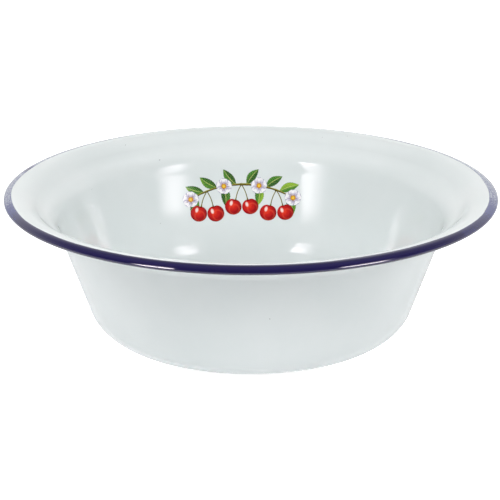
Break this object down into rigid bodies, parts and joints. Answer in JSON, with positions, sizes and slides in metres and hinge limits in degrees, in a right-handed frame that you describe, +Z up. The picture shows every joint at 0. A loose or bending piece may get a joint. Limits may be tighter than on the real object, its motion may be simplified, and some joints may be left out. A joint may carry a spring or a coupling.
{
  "type": "enamel basin bowl",
  "caption": "Round enamelled steel basin bowl with a wide flared brim, a blue rolled rim and a fired-on cherry garland inside, for washing, mixing or serving.",
  "frame": {"origin": "on the bowl's axis, at the level of the flat ring that it stands on", "axes": "+Z up along the axis; the garland is on the inner wall at +Y, so -Y is the side it is looked at from"},
  "size_m": [0.3599, 0.36, 0.1065],
  "materials": {
    "steel": "cold-rolled low-carbon sheet, drawn in one piece, wholly under enamel",
    "ground_enamel": "dark cobalt ground coat, fired, wholly under the cover coat",
    "white_enamel": "glossy white vitreous enamel with a slight ripple",
    "blue_enamel": "glossy dark blue vitreous enamel on the rim",
    "stem_ink": "fired-on ceramic ink, olive",
    "leaf_ink": "fired-on ceramic ink, green",
    "cherry_ink": "fired-on ceramic ink, red",
    "petal_ink": "fired-on ceramic ink, warm white",
    "centre_ink": "fired-on ceramic ink, yellow"
  },
  "bodies": {
    "root": {"steel_shell": "steel", "inner_ground_coat": "ground_enamel", "outer_ground_coat": "ground_enamel", "inner_cover_coat": "white_enamel", "outer_cover_coat": "white_enamel", "rim_band": "blue_enamel", "print_stems": "stem_ink", "print_leaves": "leaf_ink", "print_cherries": "cherry_ink", "print_petals": "petal_ink", "print_centres": "centre_ink"}
  },
  "joints": []
}
